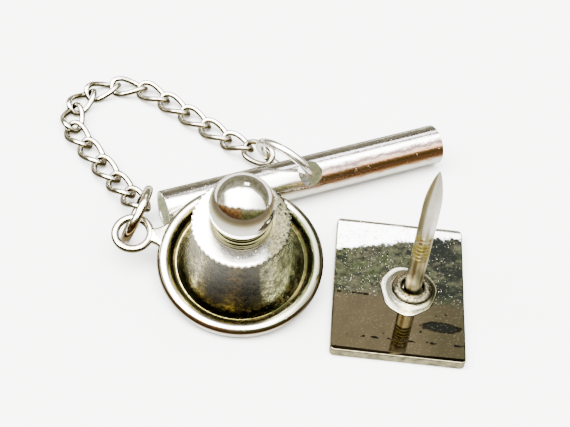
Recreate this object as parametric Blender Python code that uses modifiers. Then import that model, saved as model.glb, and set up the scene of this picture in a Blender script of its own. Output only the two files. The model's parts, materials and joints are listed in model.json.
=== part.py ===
"""Tie tack laid out on a table: pin with its face down, clutch, chain and T-bar.

Metres, +Z up. The clutch leans with its far rim on the T-bar, and the chain
runs in a loop from the clutch's eyelet to the ring in the middle of the bar.
"""
import math

import bmesh
import bpy
from mathutils import Euler, Matrix, Vector

MM = 0.001

# ---- driving dimensions (millimetres) ---------------------------------------
FIT = 0.03                  # working clearance between pieces that slide
TOUCH = 0.006               # gap where two pieces sit on each other

LAYOUT_X, LAYOUT_Y = -0.185, -6.304     # the clutch, from the middle of the layout

# pin
PLATE_W, PLATE_H, PLATE_T = 9.0, 11.9, 0.70
PLATE_X, PLATE_Y, PLATE_TURN = 10.99, 0.12, 0.67
PLATE_CORNER = 0.35
POST_R, POST_L = 0.60, 11.35
POST_X, POST_Y = 0.89, -0.15        # from the plate's middle
POINT_SHARE = 0.29                  # of the post's length, from the tip
NOTCH_START, NOTCH_PITCH, NOTCHES, NOTCH_DEPTH = 3.35, 0.34, 7, 0.06
FLANGE_R, FLANGE_TOP_R, FLANGE_T = 1.42, 1.14, 0.30
RECESS_R, RECESS_DEPTH = 0.78, 0.24     # around the post's foot
SOLDER_W, SOLDER_H, SOLDER_T = 3.9, 4.3, 0.12

# clutch body
ROLL = -0.54                        # degrees; the lean is whatever sets the far rim on the bar
BASE_R, BEAD_W, BEAD_H = 5.65, 0.96, 1.12
FLOOR_T, PIN_BORE_R = 0.42, POST_R + 0.20
EYE_X, EYE_Y, EYE_Z = -7.50, 0.95, 0.75
EYE_R, EYE_WIRE_R = 1.20, 0.27
CONE_FOOT_R, CONE_TOP_R, CONE_WALL = 4.30, 3.12, 0.30
CAP_R, CAP_TOP, CAP_T = 3.23, 6.08, 0.46
SCALLOPS, SCALLOP_DEPTH = 48, 0.09
COLLAR_R, COLLAR_STEP_R, COLLAR_H = 2.00, 1.76, 0.55
BALL_R, BALL_Z = 2.12, 8.09

# lock inside the clutch
SLEEVE_BORE_R = POST_R + 0.10
SLEEVE_R = SLEEVE_BORE_R + 0.34
SLEEVE_FOOT, SLEEVE_TOP = 0.60, 8.15
SHOULDER_R, SHOULDER_Z, SHOULDER_T = 1.72, 2.48, 0.32
LOCK_BALLS, LOCK_BALL_R, LOCK_BALL_Z = 3, 0.35, 1.60
SEAT_ANGLE, SEAT_R, SEAT_H = 12.0, 2.35, 1.85
SPRING_R, SPRING_WIRE_R, SPRING_TURNS = 1.45, 0.12, 5

# T-bar
BAR_R, BAR_WALL, BAR_L = 1.465, 0.30, 21.7
BAR_X, BAR_Y, BAR_HEADING = 3.69, 9.015, 28.13      # its middle, from the clutch
BAR_HOLE_R, BAR_HOLE_ANGLE = 0.92, 126.0
SEAM_GAP, SEAM_ANGLE = 0.12, -118.0

# rings: middle, direction of the axle through the ring (degrees), size
RING_WIRE_R = 0.31
CLUTCH_RING_R = 1.95
CLUTCH_RING_AT = (-7.56, 2.585, 2.155)
CLUTCH_RING_AXLE = (172.5, 19.8)
BAR_RING_R = 2.18
BAR_RING_AT = (2.18, 9.57, 2.295)
BAR_RING_AXLE = (61.6, 25.3)

# chain
LINKS = 15
LINK_PITCH, LINK_W, LINK_WIRE = 2.132, 1.80, 0.38
LINK_SLACK = 0.08                   # gap between the wires of two hooked links
LINK_TWIST = 45.0                   # at each end, opposite ways
LINK_FULLNESS = 2.6                 # 2 is an ellipse, more is fuller at the ends
CHAIN_START = (-7.40, 4.13, 1.36)   # the first link's joint with the clutch ring
RUN_OUT, RUN_BACK = 129.7, -34.1    # headings of the two straight runs
BEND_START, BEND_PER_LINK = 3.976, 31.6
LIE_HEIGHT = 0.51                   # a link's middle over the table
START_LIFT = (1.0, 0.45, 0.10)      # share of the start's lift, joint by joint
END_LIFT, END_HEIGHT = (0.45, 1.0), 1.34


# ---- scene and helpers ------------------------------------------------------
for old in list(bpy.data.objects):
    bpy.data.objects.remove(old, do_unlink=True)

PARTS = bpy.data.collections.new("tie_tack")
CUTTERS = bpy.data.collections.new("cutters")
bpy.context.scene.collection.children.link(PARTS)
bpy.context.scene.collection.children.link(CUTTERS)


def metal(name, colour, roughness, metallic=1.0):
    material = bpy.data.materials.new(name)
    material.use_nodes = True
    shader = material.node_tree.nodes["Principled BSDF"]
    shader.inputs["Base Color"].default_value = (*colour, 1.0)
    shader.inputs["Roughness"].default_value = roughness
    shader.inputs["Metallic"].default_value = metallic
    return material


def put(obj, collection=PARTS):
    for other in list(obj.users_collection):
        other.objects.unlink(obj)
    collection.objects.link(obj)
    return obj


def new_object(name, mesh, material=None, parent=None, collection=PARTS):
    obj = bpy.data.objects.new(name, mesh)
    collection.objects.link(obj)
    if material:
        mesh.materials.append(material)
    if parent:
        obj.parent = parent
    return obj


def empty(name, location=(0, 0, 0), parent=None):
    obj = new_object(name, None, parent=parent)
    obj.location = Vector(location) * MM
    obj.empty_display_size = 2 * MM
    return obj


def cutter(obj):
    obj.hide_render = True
    obj.display_type = "WIRE"
    return obj


def smooth(obj, degrees=32):
    for polygon in obj.data.polygons:
        polygon.use_smooth = True
    obj.data.set_sharp_from_angle(angle=math.radians(degrees))


def arc(x, z, rx, rz, start, end, steps):
    """Points on an elliptical arc in the XZ plane, angles in degrees."""
    return [(x + rx * math.cos(math.radians(start + (end - start) * k / steps)),
             z + rz * math.sin(math.radians(start + (end - start) * k / steps)))
            for k in range(steps + 1)]


def lathe(name, profile, steps, material=None, parent=None, collection=PARTS, closed=True):
    """Turn a profile of (radius, height) about Z."""
    mesh = bpy.data.meshes.new(name)
    bm = bmesh.new()
    verts = [bm.verts.new((r * MM, 0, z * MM)) for r, z in profile]
    for a, b in zip(verts, verts[1:]):
        bm.edges.new((a, b))
    if closed:
        bm.edges.new((verts[-1], verts[0]))
    bm.to_mesh(mesh)
    bm.free()
    obj = new_object(name, mesh, material, parent, collection)
    screw = obj.modifiers.new("Turn", "SCREW")
    screw.steps = screw.render_steps = steps
    screw.use_merge_vertices = True
    screw.merge_threshold = 0.000001
    screw.use_smooth_shade = True
    return obj


def boolean(obj, other, operation):
    modifier = obj.modifiers.new(f"{operation.title()} {other.name}", "BOOLEAN")
    modifier.object = other
    modifier.operation = operation
    modifier.solver = "EXACT"


def wire_mesh(name, points, radius, closed, roundness=1):
    """A round wire along a run of points, as a mesh."""
    curve = bpy.data.curves.new(name, "CURVE")
    curve.dimensions = "3D"
    curve.bevel_depth = radius * MM
    curve.bevel_resolution = roundness
    curve.use_fill_caps = True
    spline = curve.splines.new("POLY")
    spline.points.add(len(points) - 1)
    for point, co in zip(spline.points, points):
        point.co = (*(Vector(co) * MM), 1)
    spline.use_cyclic_u = closed
    return curve_to_mesh(name, curve)


def plate_mesh(name, outlines, thickness):
    """A flat plate from closed outlines (the first outside, the rest holes)."""
    curve = bpy.data.curves.new(name, "CURVE")
    curve.dimensions = "2D"
    curve.fill_mode = "BOTH"
    curve.extrude = thickness / 2 * MM
    for outline in outlines:
        spline = curve.splines.new("POLY")
        spline.points.add(len(outline) - 1)
        for point, (x, y) in zip(spline.points, outline):
            point.co = (x * MM, y * MM, 0, 1)
        spline.use_cyclic_u = True
    return curve_to_mesh(name, curve)


def curve_to_mesh(name, curve):
    holder = bpy.data.objects.new(name, curve)
    bpy.context.scene.collection.objects.link(holder)
    graph = bpy.context.evaluated_depsgraph_get()
    mesh = bpy.data.meshes.new_from_object(holder.evaluated_get(graph))
    bpy.data.objects.remove(holder, do_unlink=True)
    bpy.data.curves.remove(curve)
    bm = bmesh.new()
    bm.from_mesh(mesh)
    bmesh.ops.remove_doubles(bm, verts=bm.verts, dist=0.000002)
    bmesh.ops.recalc_face_normals(bm, faces=bm.faces)
    bm.to_mesh(mesh)
    bm.free()
    mesh.name = name
    return mesh


def place(obj, location, rotation=(0, 0, 0), mode="XYZ"):
    obj.location = Vector(location) * MM
    obj.rotation_mode = mode
    obj.rotation_euler = [math.radians(a) for a in rotation]
    return obj


# ---- pin: plate, solder, flange and post ------------------------------------
def rounded_rectangle(width, height, corner, steps=5):
    points = []
    for sx, sy, start in ((1, 1, 0), (-1, 1, 90), (-1, -1, 180), (1, -1, 270)):
        points += arc(sx * (width / 2 - corner), sy * (height / 2 - corner),
                      corner, corner, start, start + 90, steps)
    return points


def build_plate(pin):
    mesh = plate_mesh("face_plate", [rounded_rectangle(PLATE_W, PLATE_H, PLATE_CORNER)], PLATE_T)
    plate = new_object("face_plate", mesh, metal("mirror_plate", (0.62, 0.59, 0.54), 0.12), pin)
    place(plate, (0, 0, PLATE_T / 2))
    edge = plate.modifiers.new("Edge", "BEVEL")
    edge.width = 0.07 * MM
    edge.segments = 2
    edge.limit_method = "ANGLE"
    smooth(plate)


def solder_ring(share, height, steps=40):
    """One closed ring of the puddle, from the flange (0) to its uneven edge (1)."""
    points = []
    for k in range(steps):
        a = 2 * math.pi * k / steps
        wobble = 1 + 0.035 * math.sin(3 * a + 0.6) + 0.02 * math.sin(7 * a)
        edge = Vector((SOLDER_W / 2 * math.cos(a), SOLDER_H / 2 * math.sin(a))) * wobble
        inner = Vector((0.25, 0.10)) + (FLANGE_R + 0.05) * Vector((math.cos(a), math.sin(a)))
        x, y = inner.lerp(edge, share)
        points.append((x, y, height))
    return points


def build_solder(pin):
    """Thin uneven puddle of solder that thins out from the flange to its edge."""
    levels = [(1, 0), (1, 0.02), (0.62, 0.035), (0.25, SOLDER_T * 0.62), (0, SOLDER_T)]
    bm = bmesh.new()
    rings = [[bm.verts.new(Vector(point) * MM) for point in solder_ring(*level)] for level in levels]
    for low, high in zip(rings, rings[1:]):
        for k in range(len(low)):
            bm.faces.new((low[k - 1], low[k], high[k], high[k - 1]))
    bm.faces.new(reversed(rings[0]))
    bm.faces.new(rings[-1])
    mesh = bpy.data.meshes.new("solder_pad")
    bm.to_mesh(mesh)
    bm.free()
    pad = new_object("solder_pad", mesh, metal("solder", (0.70, 0.68, 0.64), 0.30), pin)
    place(pad, (POST_X - 0.25, POST_Y - 0.1, PLATE_T + TOUCH))
    smooth(pad, 50)


def flange_foot():
    return PLATE_T + TOUCH + SOLDER_T + TOUCH


def build_flange(pin):
    """Ring with a sloped rim and a recess around the post's foot."""
    bore = POST_R + FIT
    recess = FLANGE_T - RECESS_DEPTH
    profile = [(FLANGE_TOP_R, FLANGE_T), (FLANGE_R, 0.08), (FLANGE_R, 0),
               (bore, 0), (bore, recess), (RECESS_R - 0.06, recess), (RECESS_R, FLANGE_T)]
    flange = lathe("post_flange", profile, 40, metal("flange_nickel", (0.50, 0.44, 0.36), 0.34), pin)
    place(flange, (POST_X, POST_Y, flange_foot()))


def post_profile():
    """Post from tip to foot, with the grip rings turned into it."""
    shoulder = POST_L * (1 - POINT_SHARE)
    tip = 0.05
    profile = [(0, POST_L), (tip, POST_L - 0.06)]
    profile += [(tip + (POST_R - tip) * math.sin(math.pi / 2 * k / 6) ** 0.85,
                 POST_L - 0.06 - (POST_L * POINT_SHARE - 0.06) * k / 6) for k in range(1, 7)]
    for k in reversed(range(NOTCHES)):
        top = NOTCH_START + k * NOTCH_PITCH + NOTCH_PITCH * 0.62
        if top > shoulder:
            continue
        profile += [(POST_R, top), (POST_R - NOTCH_DEPTH, top - NOTCH_PITCH * 0.31),
                    (POST_R, top - NOTCH_PITCH * 0.62)]
    profile += [(POST_R, 0), (0, 0)]
    return profile


def build_post(pin):
    post = lathe("pin_post", post_profile(), 20, metal("post_nickel", (0.66, 0.62, 0.56), 0.22), pin,
                 closed=False)
    place(post, (POST_X, POST_Y, flange_foot()))


def build_pin(root):
    pin = empty("pin", (PLATE_X, PLATE_Y, 0), root)
    pin.rotation_euler = (0, 0, math.radians(PLATE_TURN))
    build_plate(pin)
    build_solder(pin)
    build_flange(pin)
    build_post(pin)


# ---- clutch body ------------------------------------------------------------
def lean_matrix(lean):
    return Euler((math.radians(lean), math.radians(ROLL), 0), "YXZ").to_matrix()


def clutch_height(lean):
    """Height of the clutch's foot centre that sets its near rim on the table."""
    axis = lean_matrix(lean) @ Vector((0, 0, 1))
    across = math.hypot(axis.x, axis.y)
    bead_x = BASE_R - BEAD_W / 2
    bead_z = BEAD_H / 2
    reach = math.hypot(BEAD_W / 2 * across, bead_z * axis.z)
    return bead_x * across - bead_z * axis.z + reach + 0.004


def gap_to_bar(lean):
    """Smallest gap between the rim's rolled bead and the bar at a given lean."""
    turn, foot = lean_matrix(lean), Vector((0, 0, clutch_height(lean)))
    heading = math.radians(BAR_HEADING)
    along, middle = Vector((math.cos(heading), math.sin(heading), 0)), Vector((BAR_X, BAR_Y, BAR_R))
    gap = BASE_R
    for k in range(90):
        a = math.radians(45 + k * 1.5)
        for m in range(24):
            b = 2 * math.pi * m / 24
            r = BASE_R - BEAD_W / 2 * (1 - math.cos(b))
            point = turn @ Vector((r * math.cos(a), r * math.sin(a), BEAD_H / 2 * (1 + math.sin(b)))) + foot
            gap = min(gap, along.cross(point - middle).length - BAR_R)
    return gap


def resting_lean():
    """The lean that sets the far rim on the bar, by halving."""
    low, high = 4.0, 30.0
    for _ in range(14):
        middle = (low + high) / 2
        low, high = (middle, high) if gap_to_bar(middle) < 0.02 else (low, middle)
    return high


def build_base(clutch):
    """Stamped dish with a rolled rim, a pin hole and the eyelet on its left."""
    bead_x = BASE_R - BEAD_W / 2
    bead_z = BEAD_H / 2
    profile = arc(bead_x, bead_z, BEAD_W / 2, bead_z, 90, -90, 8)
    profile += [(PIN_BORE_R + 0.12, 0), (PIN_BORE_R, 0.12), (PIN_BORE_R, FLOOR_T)]
    profile += [(bead_x - BEAD_W / 2 - 0.10, FLOOR_T)]
    profile += arc(bead_x, bead_z, BEAD_W / 2, bead_z, 172, 102, 5)
    base = lathe("clutch_base", profile, 64, metal("rim_silver", (0.80, 0.78, 0.74), 0.14), clutch)

    bpy.ops.mesh.primitive_torus_add(major_radius=EYE_R * MM, minor_radius=EYE_WIRE_R * MM,
                                     major_segments=36, minor_segments=10)
    eye = cutter(put(bpy.context.object, CUTTERS))
    eye.name = "eyelet_ring"
    eye.parent = clutch
    place(eye, (EYE_X, EYE_Y, EYE_Z))

    inner = -(bead_x - 0.05)
    near = EYE_X + EYE_R - 0.08
    outline = [(inner, EYE_Y - 1.55), (near + 0.45, EYE_Y - 0.85), (near, EYE_Y - 0.62),
               (near, EYE_Y + 0.62), (near + 0.45, EYE_Y + 0.85), (inner, EYE_Y + 1.50)]
    neck = new_object("eyelet_neck", plate_mesh("eyelet_neck", [outline], 0.40), None, clutch, CUTTERS)
    cutter(neck)
    place(neck, (0, 0, EYE_Z - 0.03))
    boolean(base, eye, "UNION")
    boolean(base, neck, "UNION")


def cap_foot():
    return CAP_TOP - CAP_T


def build_housing(clutch):
    """Pressed cone between the dish and the scalloped cap, open at both ends."""
    foot = FLOOR_T + TOUCH
    top = cap_foot() - TOUCH
    rise = top - foot
    outer = [(CONE_TOP_R, top), (CONE_TOP_R + 0.16, foot + rise * 0.72),
             (CONE_TOP_R + 0.42, foot + rise * 0.42), (CONE_TOP_R + 0.72, foot + rise * 0.18),
             (CONE_FOOT_R, foot + 0.22), (CONE_FOOT_R + 0.05, foot)]
    inner = [(r - CONE_WALL, z) for r, z in reversed(outer)]
    housing = lathe("clutch_housing", outer + inner, 48,
                    metal("housing_nickel", (0.42, 0.40, 0.35), 0.38), clutch)
    place(housing, (0, 0, 0))


def build_cap(clutch):
    """Scalloped disc that closes the housing, with the sleeve's hole."""
    outline = []
    for k in range(SCALLOPS * 4):
        a = 2 * math.pi * k / (SCALLOPS * 4)
        r = CAP_R - SCALLOP_DEPTH * (0.5 - 0.5 * math.cos(SCALLOPS * a))
        outline.append((r * math.cos(a), r * math.sin(a)))
    hole_r = SLEEVE_R + FIT
    hole = [(hole_r * math.cos(2 * math.pi * k / 32), hole_r * math.sin(2 * math.pi * k / 32))
            for k in range(32)]
    cap = new_object("scalloped_cap", plate_mesh("scalloped_cap", [outline, hole], CAP_T),
                     metal("cap_silver", (0.74, 0.72, 0.68), 0.22), clutch)
    place(cap, (0, 0, CAP_TOP - CAP_T / 2))


def build_collar(clutch):
    """Stepped neck under the ball."""
    foot = CAP_TOP + TOUCH
    step = foot + COLLAR_H * 0.52
    top = foot + COLLAR_H
    bore = SLEEVE_R + FIT
    profile = [(COLLAR_STEP_R - 0.06, top), (COLLAR_STEP_R, top - 0.06), (COLLAR_STEP_R, step),
               (COLLAR_R - 0.06, step), (COLLAR_R, step - 0.06), (COLLAR_R, foot), (bore, foot), (bore, top)]
    lathe("neck_collar", profile, 40, metal("collar_nickel", (0.60, 0.57, 0.51), 0.26), clutch)


def ball_foot():
    return CAP_TOP + TOUCH + COLLAR_H + FIT


# ---- lock: ball knob, sleeve, spring, cone seat and lock balls ---------------
def build_knob(knob):
    """Ball grip, flat underneath, bored for the sleeve and the pin."""
    drop = BALL_Z - ball_foot()
    socket = SLEEVE_TOP + FIT - BALL_Z
    low = -math.degrees(math.asin(drop / BALL_R))
    profile = arc(0, 0, BALL_R, BALL_R, 90, low, 15)
    profile[0] = (0, BALL_R)
    profile += [(SLEEVE_R + TOUCH, -drop), (SLEEVE_R + TOUCH, socket),
                (SLEEVE_BORE_R, socket), (SLEEVE_BORE_R, 1.20), (0, 1.20 + SLEEVE_BORE_R * 0.6)]
    ball = lathe("knob_ball", profile, 32, metal("ball_chrome", (0.80, 0.79, 0.77), 0.10), knob,
                 closed=False)
    

def lock_ball_reach():
    """Distance of a lock ball's centre from the axis with the lock closed."""
    return POST_R + LOCK_BALL_R + 0.04


def build_sleeve(knob):
    """Tube fixed in the ball, with windows for the lock balls and a spring shoulder."""
    shoulder = SHOULDER_Z + SHOULDER_T
    profile = [(SLEEVE_R, SLEEVE_TOP), (SLEEVE_R, shoulder), (SHOULDER_R, shoulder),
               (SHOULDER_R, SHOULDER_Z), (SLEEVE_R, SHOULDER_Z), (SLEEVE_R, SLEEVE_FOOT),
               (SLEEVE_BORE_R, SLEEVE_FOOT), (SLEEVE_BORE_R, SLEEVE_TOP)]
    profile = [(r, z - BALL_Z) for r, z in profile]
    sleeve = lathe("plunger_sleeve", profile, 36, metal("sleeve_brass", (0.62, 0.47, 0.24), 0.30), knob)
    for k in range(LOCK_BALLS):
        bpy.ops.mesh.primitive_cylinder_add(vertices=24, radius=(LOCK_BALL_R + FIT) * MM, depth=1.2 * MM)
        window = cutter(put(bpy.context.object, CUTTERS))
        window.name = f"sleeve_window_{k + 1}"
        window.parent = knob
        turn = math.radians(90 + 360 * k / LOCK_BALLS)
        window.rotation_euler = Euler((0, math.radians(90), turn), "XYZ")
        window.location = Vector((math.cos(turn), math.sin(turn), LOCK_BALL_Z - BALL_Z)) * MM
        boolean(sleeve, window, "DIFFERENCE")


def build_lock_balls(knob):
    steel = metal("lock_ball_steel", (0.70, 0.70, 0.70), 0.12)
    for k in range(LOCK_BALLS):
        turn = math.radians(90 + 360 * k / LOCK_BALLS)
        bpy.ops.mesh.primitive_uv_sphere_add(segments=14, ring_count=8, radius=LOCK_BALL_R * MM)
        ball = put(bpy.context.object)
        ball.name = f"lock_ball_{k + 1}"
        ball.data.materials.append(steel)
        ball.parent = knob
        ball.location = Vector((lock_ball_reach() * math.cos(turn), lock_ball_reach() * math.sin(turn),
                                LOCK_BALL_Z - BALL_Z)) * MM
        smooth(ball)


def build_seat(clutch):
    """Ring with the cone that presses the lock balls onto the post."""
    foot = FLOOR_T + TOUCH
    top = foot + SEAT_H
    slope = math.tan(math.radians(SEAT_ANGLE))
    at_ball = lock_ball_reach() + (LOCK_BALL_R + 0.02) / math.cos(math.radians(SEAT_ANGLE))
    profile = [(SEAT_R, top), (SEAT_R, foot), (at_ball - (LOCK_BALL_Z - foot) * slope, foot),
               (at_ball + (top - LOCK_BALL_Z) * slope, top)]
    lathe("cone_seat", profile, 40, metal("seat_brass", (0.60, 0.46, 0.25), 0.34), clutch)


def build_spring(clutch):
    low = SHOULDER_Z + SHOULDER_T + SPRING_WIRE_R + FIT
    high = cap_foot() - SPRING_WIRE_R - FIT
    steps = SPRING_TURNS * 14
    points = []
    for k in range(steps + 1):
        a = 2 * math.pi * SPRING_TURNS * k / steps
        points.append((SPRING_R * math.cos(a), SPRING_R * math.sin(a), low + (high - low) * k / steps))
    mesh = wire_mesh("clutch_spring", points, SPRING_WIRE_R, closed=False)
    smooth(new_object("clutch_spring", mesh, metal("spring_steel", (0.55, 0.55, 0.56), 0.25), clutch))


def build_clutch(root):
    lean = resting_lean()
    clutch = empty("clutch", (0, 0, clutch_height(lean)), root)
    clutch.rotation_mode = "YXZ"
    clutch.rotation_euler = (math.radians(lean), math.radians(ROLL), 0)
    knob = empty("knob_slide", (0, 0, BALL_Z), clutch)
    build_base(clutch)
    build_housing(clutch)
    build_cap(clutch)
    build_collar(clutch)
    build_seat(clutch)
    build_spring(clutch)
    build_knob(knob)
    build_sleeve(knob)
    build_lock_balls(knob)


# ---- T-bar ------------------------------------------------------------------
def bar_outline():
    """Rolled sheet seen from its end: two arcs that stop at the seam."""
    half = math.degrees(SEAM_GAP / 2 / BAR_R)
    outer = arc(0, 0, BAR_R, BAR_R, SEAM_ANGLE + half, SEAM_ANGLE + 360 - half, 56)
    inner_r = BAR_R - BAR_WALL
    inner = arc(0, 0, inner_r, inner_r, SEAM_ANGLE + 360 - half * 1.2, SEAM_ANGLE + half * 1.2, 56)
    return outer + inner


def build_bar(root):
    mesh = plate_mesh("toggle_bar", [bar_outline()], BAR_L)
    along_x = Matrix(((0, 0, 1, 0), (1, 0, 0, 0), (0, 1, 0, 0), (0, 0, 0, 1)))
    mesh.transform(along_x)
    bar = new_object("toggle_bar", mesh, metal("bar_chrome", (0.78, 0.76, 0.72), 0.16), root)
    place(bar, (BAR_X, BAR_Y, BAR_R + 0.004), (0, 0, BAR_HEADING))
    smooth(bar)
    bpy.ops.mesh.primitive_cylinder_add(vertices=40, radius=BAR_HOLE_R * MM, depth=4 * BAR_R * MM)
    drill = cutter(put(bpy.context.object, CUTTERS))
    drill.name = "ring_drill"
    drill.parent = bar
    place(drill, (0, 0, 0), (BAR_HOLE_ANGLE - 90, 0, 0))
    boolean(bar, drill, "DIFFERENCE")


# ---- rings and chain --------------------------------------------------------
def build_ring(name, at, axle, radius, root):
    bpy.ops.mesh.primitive_torus_add(major_radius=radius * MM, minor_radius=RING_WIRE_R * MM,
                                     major_segments=44, minor_segments=10)
    ring = put(bpy.context.object)
    ring.name = name
    ring.parent = root
    ring.data.materials.append(metal(name + "_nickel", (0.70, 0.68, 0.64), 0.18))
    heading, rise = axle
    place(ring, at, (0, 90 - rise, heading))
    smooth(ring)


def chain_joints():
    """Joint centres from the clutch ring to the bar ring."""
    lift = CHAIN_START[2] - LIE_HEIGHT
    heights = [LIE_HEIGHT] * (LINKS + 1)
    for k, share in enumerate(START_LIFT):
        heights[k] += lift * share
    for k, share in enumerate(END_LIFT):
        heights[LINKS - len(END_LIFT) + 1 + k] += (END_HEIGHT - LIE_HEIGHT) * share
    joints = [Vector(CHAIN_START)]
    for k in range(LINKS):
        turn = min(max((k - BEND_START) * BEND_PER_LINK, 0), RUN_OUT - RUN_BACK)
        heading = math.radians(RUN_OUT - turn)
        rise = heights[k + 1] - heights[k]
        run = math.sqrt(LINK_PITCH ** 2 - rise ** 2)
        joints.append(joints[-1] + Vector((run * math.cos(heading), run * math.sin(heading), rise)))
    return joints


def link_points(start_twist, end_twist, steps=22):
    """Middle line of one link along X; its joint is at the origin."""
    half_l = (LINK_PITCH + LINK_WIRE + LINK_SLACK) / 2
    half_w = (LINK_W - LINK_WIRE) / 2
    points = []
    for k in range(steps):
        a = 2 * math.pi * k / steps
        c, s = math.cos(a), math.sin(a)
        x = half_l * math.copysign(abs(c) ** (2 / LINK_FULLNESS), c)
        y = half_w * math.copysign(abs(s) ** (2 / LINK_FULLNESS), s)
        share = (x / half_l + 1) / 2
        twist = math.radians(start_twist + (end_twist - start_twist) * share)
        points.append((x + LINK_PITCH / 2, y * math.cos(twist), y * math.sin(twist)))
    return points


def build_chain(root):
    steel = metal("chain_nickel", (0.66, 0.64, 0.60), 0.20)
    joints = chain_joints()
    for k in range(LINKS):
        name = f"chain_link_{k + 1:02d}"
        end_twist = LINK_TWIST if k == LINKS - 1 else -LINK_TWIST
        mesh = wire_mesh(name, link_points(LINK_TWIST, end_twist), LINK_WIRE / 2, closed=True)
        link = new_object(name, mesh, steel, root)
        along = joints[k + 1] - joints[k]
        heading = math.degrees(math.atan2(along.y, along.x))
        rise = math.degrees(math.asin(along.z / along.length))
        place(link, joints[k], (0, -rise, heading))
        smooth(link)


ROOT = empty("tie_tack", (LAYOUT_X, LAYOUT_Y, 0))
build_pin(ROOT)
build_clutch(ROOT)
build_bar(ROOT)
build_ring("clutch_ring", CLUTCH_RING_AT, CLUTCH_RING_AXLE, CLUTCH_RING_R, ROOT)
build_ring("bar_ring", BAR_RING_AT, BAR_RING_AXLE, BAR_RING_R, ROOT)
build_chain(ROOT)
bpy.context.view_layer.update()
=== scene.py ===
"""Worn silver tie tack on a pale table: pin, ball clutch, curb chain and T-bar."""
import json
import math

import bmesh
import bpy
from mathutils import Matrix, Vector


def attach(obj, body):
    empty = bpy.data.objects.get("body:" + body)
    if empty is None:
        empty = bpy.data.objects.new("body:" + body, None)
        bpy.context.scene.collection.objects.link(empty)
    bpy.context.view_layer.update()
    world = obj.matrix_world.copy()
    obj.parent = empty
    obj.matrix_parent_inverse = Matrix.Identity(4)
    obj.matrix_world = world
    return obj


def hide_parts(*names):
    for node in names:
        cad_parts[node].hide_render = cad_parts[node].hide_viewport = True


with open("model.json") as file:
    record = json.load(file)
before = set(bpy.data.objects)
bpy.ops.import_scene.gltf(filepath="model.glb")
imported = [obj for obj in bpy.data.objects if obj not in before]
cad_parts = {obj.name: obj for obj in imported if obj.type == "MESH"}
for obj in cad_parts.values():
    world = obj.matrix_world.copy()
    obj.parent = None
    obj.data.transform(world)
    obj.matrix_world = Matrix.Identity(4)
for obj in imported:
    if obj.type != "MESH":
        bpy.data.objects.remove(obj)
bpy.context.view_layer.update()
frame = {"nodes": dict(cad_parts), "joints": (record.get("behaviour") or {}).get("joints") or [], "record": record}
JOINTS = {joint["name"]: joint for joint in frame["joints"]}
MOUNTS = {mount["name"]: mount for mount in frame["record"]["mounts"]}
MM = 0.001


# ---- face plate --------------------------------------------------------------------
# The pin's back: a flat polished nickel plate with rounded edges, pitted and tarnished at its edge, lying face
# down.
# The dark room that its mirror shows is painted on it by place, so it stays there from every side.
PLATE_W, PLATE_H, PLATE_T = 9.0, 11.9, 0.70


def at_mm(x, y, z):
    return Matrix.Translation(Vector((x, y, z)) * MM)


def turn(degrees, axis):
    return Matrix.Rotation(math.radians(degrees), 4, axis)


PIN = Matrix.Translation(MOUNTS["plate_face"]["pos_m"]) @ turn(0.67, "Z")


def put(tree, socket, value):
    """Link a socket into an input, or set the input's constant."""
    if isinstance(value, bpy.types.NodeSocket):
        tree.links.new(value, socket)
    elif isinstance(value, tuple) and len(value) == 3 and len(socket.default_value) == 4:
        socket.default_value = (*value, 1)
    else:
        socket.default_value = value


def node(tree, kind, sockets=None, **settings):
    made = tree.nodes.new(kind)
    for key, value in settings.items():
        setattr(made, key, value)
    for key, value in (sockets or {}).items():
        put(tree, made.inputs[key], value)
    return made


def calc(tree, operation, *values, clamp=False):
    sockets = dict(enumerate(values))
    return node(tree, "ShaderNodeMath", sockets, operation=operation, use_clamp=clamp).outputs[0]


def rise(tree, value, low, high, top=1.0):
    """Smooth step from 0 to top as value goes from low to high."""
    return node(tree, "ShaderNodeMapRange", {"Value": value, "From Min": low, "From Max": high,
                                             "To Max": top}, interpolation_type="SMOOTHSTEP").outputs[0]


def band(tree, value, low, high, soft):
    """1 between low and high, fading out over soft."""
    return calc(tree, "MULTIPLY", rise(tree, value, low - soft, low + soft),
                rise(tree, value, high + soft, high - soft))


def mix(tree, fac, a, b, blend="MIX"):
    made = node(tree, "ShaderNodeMix", data_type="RGBA", blend_type=blend)
    for key, value in ((0, fac), (6, a), (7, b)):
        put(tree, made.inputs[key], value)
    return made.outputs[2]


def brighter(tree, colour, factor):
    return node(tree, "ShaderNodeVectorMath", {0: colour, "Scale": factor}, operation="SCALE").outputs[0]


def noise(tree, place, size, detail=3.0, rough=0.55, stretch=None):
    """Noise with features of about size millimetres."""
    if stretch:
        place = node(tree, "ShaderNodeMapping", {"Vector": place, "Scale": stretch}).outputs[0]
    return node(tree, "ShaderNodeTexNoise", {"Vector": place, "Scale": 1 / (size * MM), "Detail": detail,
                                             "Roughness": rough}).outputs["Fac"]


def dots(tree, place, size, share):
    """Scattered round spots: 1 in the middle of a spot, 0 outside."""
    cells = node(tree, "ShaderNodeTexVoronoi", {"Vector": place, "Scale": 1 / (size * MM)})
    return rise(tree, cells.outputs["Distance"], share, share * 0.35)


def smooth(mesh, degrees=35):
    for polygon in mesh.polygons:
        polygon.use_smooth = True
    mesh.set_sharp_from_angle(angle=math.radians(degrees))
    return mesh


def arc(x, z, rx, rz, start, end, steps):
    return [(x + rx * math.cos(math.radians(start + (end - start) * k / steps)),
             z + rz * math.sin(math.radians(start + (end - start) * k / steps)))
            for k in range(steps + 1)]


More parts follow.
